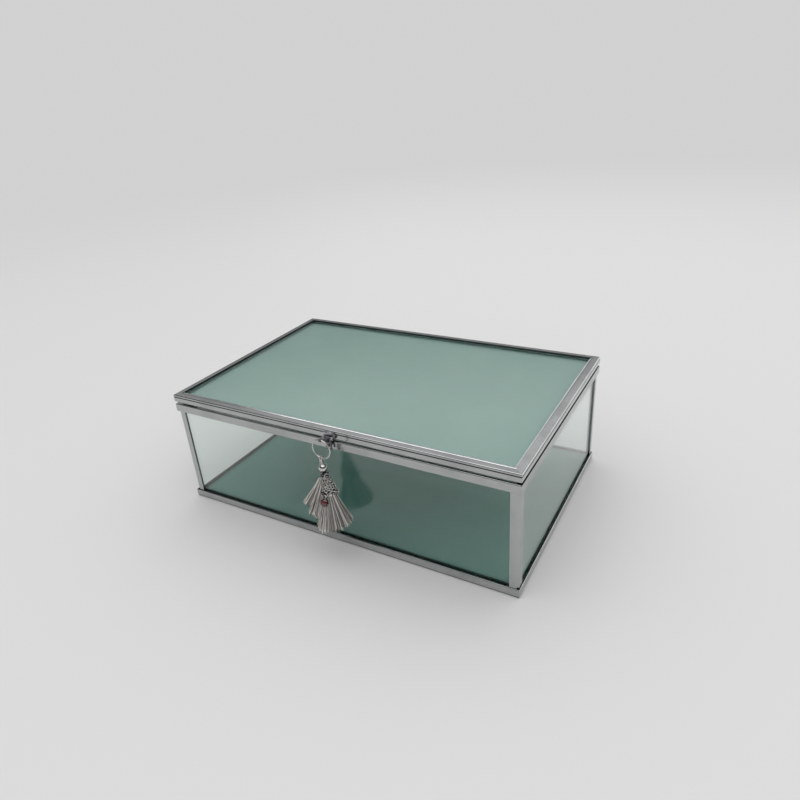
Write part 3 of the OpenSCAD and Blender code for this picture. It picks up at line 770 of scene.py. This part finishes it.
def work_the_cap(material):
    """Wire rings round the piercings, and a grain between each two."""
    sizes = {"Wire radius": 0.13 * MM, "Grain radius": 0.19 * MM, "Grain growth": 0.06 * MM}
    shaper = Shaper("filigree", sizes)
    each_row = PIERCE_TURNS * PETALS
    step = 2 * math.pi / each_row
    points = shaper.node("GeometryNodePoints", None, {"Count": each_row * PIERCE_ROWS})
    which = shaper.node("GeometryNodeInputIndex")
    row = shaper.math("FLOOR", which / each_row)
    turn = (which % each_row + row * 0.5) * step
    depth = PIERCE_FIRST + row * PIERCE_PITCH
    circle = shaper.circle(RING_POINTS, PIERCE_R)
    ring = shaper.tube(circle, RING_SIDES, shaper.size("Wire radius"), caps=False)
    ring_size = RING_OVER_HOLE + row * (PIERCE_GROW / PIERCE_R)
    grain = shaper.grain(shaper.size("Grain radius"))
    grain_size = 1 + row * (shaper.size("Grain growth") / shaper.size("Grain radius"))
    worked = []
    for shape, angle, size in ((ring, turn, ring_size), (grain, turn + step / 2, grain_size)):
        spot, normal = on_the_cap(shaper, angle, depth, 0.0)
        set_out = shaper.node("GeometryNodeSetPosition", None, {"Geometry": points, "Position": spot})
        facing = shaper.node("FunctionNodeAlignRotationToVector", {"axis": "Z"}, {"Vector": normal})
        scale = shaper.xyz(size, size, size)
        sockets = {"Points": set_out, "Instance": shape, "Rotation": facing, "Scale": scale}
        worked.append(shaper.node("GeometryNodeInstanceOnPoints", None, sockets))
    shaper.close(shaper.join(*worked), material)
    hang(shaper.make("cap_filigree", sizes))


def pale_floor():
    """Pale matt floor that keeps the object's shadow and fades to the background far off."""
    finish = Finish("pale_floor")
    where = finish.node("ShaderNodeTexCoord", out="Object")
    away = finish.node("ShaderNodeVectorMath", {"operation": "LENGTH"}, {0: where}, out="Value")
    matt = finish.principled({"Base Color": FLOOR_COLOUR, "Roughness": FLOOR_ROUGHNESS})
    far = finish.node("ShaderNodeEmission", None, {"Color": BACKGROUND, "Strength": 1.0})
    return finish.cover(finish.mix(finish.ease(away, *FLOOR_FADE), matt, far))


def room_and_fill(tree):
    """The room that metal and glass mirror, and the fill that lights everything else."""
    way = tree.node("ShaderNodeTexCoord", out="Generated")
    along = tree.node("ShaderNodeSeparateXYZ", None, {"Vector": way}, out="X")
    behind, rise = along.other("Y"), along.other("Z")
    backdrop = tree.blend(tree.ease(rise, *LIT_FROM), BACKDROP_LOW, BACKDROP_LIT)
    backdrop = tree.blend(tree.ease(rise, *LIT_TO), backdrop, BACKDROP_TOP)
    front = tree.blend(tree.ease(rise, *FRONT_FROM), FRONT_LOW, FRONT_HIGH)
    around = tree.blend(tree.ease(behind, *BEHIND_FROM), front, backdrop)
    walls = tree.blend(tree.ease(rise, *WALLS_FROM), BACKGROUND, around)
    window_height = tree.ease(rise, *WINDOW_SILL) * (1 - tree.ease(rise, *WINDOW_HEAD))
    window_width = tree.ease(behind, *WINDOW_BEHIND) * tree.ease(along, *WINDOW_LEFT)
    lit = tree.blend(window_height * window_width, walls, WINDOW)
    room = tree.blend(tree.ease(rise, *OVERHEAD_FROM), lit, OVERHEAD)
    fill = tree.blend(tree.ease(rise, *FILL_FROM), FILL_LOW, FILL_HIGH)
    return room, fill


def light_the_studio():
    """A pale background, the room that is mirrored, a fill that is brighter overhead, and a soft lamp."""
    scene = bpy.context.scene
    scene.view_settings.view_transform = "Standard"
    world = bpy.data.worlds.new("studio")
    scene.world = world
    world.use_nodes = True
    tree = Tree(world.node_tree)
    room, fill = room_and_fill(tree)
    ray = tree.node("ShaderNodeLightPath", out="Is Camera Ray")
    sharp = tree.math("MAXIMUM", ray.other("Is Glossy Ray"), ray.other("Is Transmission Ray"))
    mirrored = sharp * (ray.other("Glossy Depth") > 0.5)
    seen = tree.blend(mirrored, BACKGROUND, room)
    in_view = tree.math("MAXIMUM", ray, sharp) * (ray.other("Diffuse Depth") < 0.5)
    colour = tree.blend(in_view, fill, seen)
    around = tree.node("ShaderNodeBackground", None, {"Color": colour, "Strength": 1.0})
    tree.node("ShaderNodeOutputWorld", None, {"Surface": around})

    lamp = bpy.data.lights.new("key", "AREA")
    lamp.size = KEY_SIZE
    lamp.energy = KEY_POWER
    key = bpy.data.objects.new("key", lamp)
    key.visible_glossy = False
    key.visible_transmission = False
    key.location = KEY_AT
    key.rotation_euler = (-KEY_AT).to_track_quat("-Z", "Y").to_euler()
    scene.collection.objects.link(key)


def set_camera():
    """Camera at the photograph's viewing angle."""
    back = Vector((
        math.sin(CAMERA_AZIMUTH) * math.cos(CAMERA_ELEVATION),
        -math.cos(CAMERA_AZIMUTH) * math.cos(CAMERA_ELEVATION),
        math.sin(CAMERA_ELEVATION),
    ))
    right = Vector((0, 0, 1)).cross(back).normalized()
    up = back.cross(right)
    turned = math.cos(CAMERA_ROLL) * right + math.sin(CAMERA_ROLL) * up
    upright = math.cos(CAMERA_ROLL) * up - math.sin(CAMERA_ROLL) * right
    data = bpy.data.cameras.new("camera")
    data.sensor_width = CAMERA_SENSOR
    data.lens = CAMERA_LENS
    data.clip_start = CAMERA_NEAR
    camera = bpy.data.objects.new("camera", data)
    turn = Matrix((turned, upright, back)).transposed().to_4x4()
    camera.matrix_world = Matrix.Translation(CAMERA_AT) @ turn
    bpy.context.scene.collection.objects.link(camera)
    bpy.context.scene.camera = camera


def lay_floor():
    """A wide round floor, just under the box."""
    shape = bmesh.new()
    bmesh.ops.create_circle(shape, cap_ends=True, segments=FLOOR_SIDES, radius=FLOOR_RADIUS)
    mesh = bpy.data.meshes.new("floor")
    shape.to_mesh(mesh)
    shape.free()
    mesh.transform(Matrix.Translation((0, 0, -FLOOR_DROP)))
    mesh.materials.append(pale_floor())
    floor = bpy.data.objects.new("floor", mesh)
    bpy.context.scene.collection.objects.link(floor)


def dress(material, *names):
    """Gives CAD nodes a finish, through their material slots."""
    for name in names:
        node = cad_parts[name]
        if not node.material_slots:
            node.data.materials.append(material)
        for slot in node.material_slots:
            slot.material = material


def dress_the_nodes():
    """Gives every CAD node its finish: grain runs along a rail, a pane is clear across its thickness."""
    upright, hinge = polished_frame("frame_post", Z), polished_frame("frame_hinge", X)
    # Bottom rails: painted shade along the lower bend and the hem, and on the channel's inner faces
    foot_along = [
        polished_frame("frame_foot_x", X, FOOT_PAINTED_SHADE, FOOT_CHANNEL[Y]),
        polished_frame("frame_foot_y", Y, FOOT_PAINTED_SHADE, FOOT_CHANNEL[X]),
    ]
    # Side top rails: painted shade along the upper edge, by the lid seam
    top_along = [polished_frame("frame_top_x", X), polished_frame("frame_top_y", Y, TOP_PAINTED_SHADE)]
    pane_across = [
        clear_glass("clear_glass_x", X, PANE_TINT, PANE_SHADOW),
        clear_glass("clear_glass_y", Y, PANE_TINT, PANE_SHADOW),
    ]
    for rail, finishes in (("bottom_rail", foot_along), ("top_rail", top_along)):
        dress(finishes[X], f"{rail}_front", f"{rail}_rear")
        dress(finishes[Y], f"{rail}_left", f"{rail}_right")
    # Columns: side, grain direction, channel of painted shade (rear and left only), lip roll, shine
    # (painted light on the right rail)
    lid_rails = (
        ("front", X, None, LIP_ROLL_H, 1.0),
        ("right", Y, None, LIP_ROLL_RIGHT, RIGHT_PAINTED_LIGHT),
        ("rear", X, LIP_CHANNEL[Y], LIP_ROLL_H, 1.0),
        ("left", Y, LIP_CHANNEL[X], LIP_ROLL_H, 1.0),
    )
    # Each lid rail gets painted shade in its groove
    for side, along, channel, roll, shine in lid_rails:
        finish = polished_frame(f"frame_lid_{side}", along, LID_PAINTED_SHADE, channel, roll, shine)
        dress(finish, f"lid_rail_{side}")
    for end in ("front", "rear"):
        dress(upright, f"corner_post_{end}_left", f"corner_post_{end}_right")
        dress(pane_across[Y], f"pane_{end}")
    for side in ("left", "right"):
        dress(pane_across[X], f"pane_{side}")
        dress(hinge, f"hinge_case_leaf_{side}", f"hinge_lid_leaf_{side}", f"hinge_pin_{side}")
    dress(clear_glass("base_glass", Z, BASE_TINT, PANE_SHADOW, BASE_IOR), "base_glass")
    dress(clear_glass("lid_glass", Z, PANE_TINT, LID_SHADOW), "lid_glass")
    dress(mint_lining(), "base_lining", "lid_lining")
    dress(darkened_steel("darkened_steel"), "catch_peg", "clasp_pin", "hasp_tongue", "ring_arm")
    dress(darkened_steel("rubbed_steel"), "clasp_plate")
    dress(bright_silver(), "tassel_bead")
    dress(antique_silver("plain_silver"), "tassel_eye_pin")
    dress(antique_silver("dull_silver"), "jump_ring")
    dress(antique_silver("tarnished_silver"), "tassel_cap")
    dress(red_stone(), "tassel_stone")


set_camera()
light_the_studio()
lay_floor()
dress_the_nodes()
thread = silver_thread()
hang_the_threads(thread)
worked_silver = antique_silver("worked_silver")
bead_the_rim(worked_silver)
work_the_cap(worked_silver)
wrap_the_neck(worked_silver)
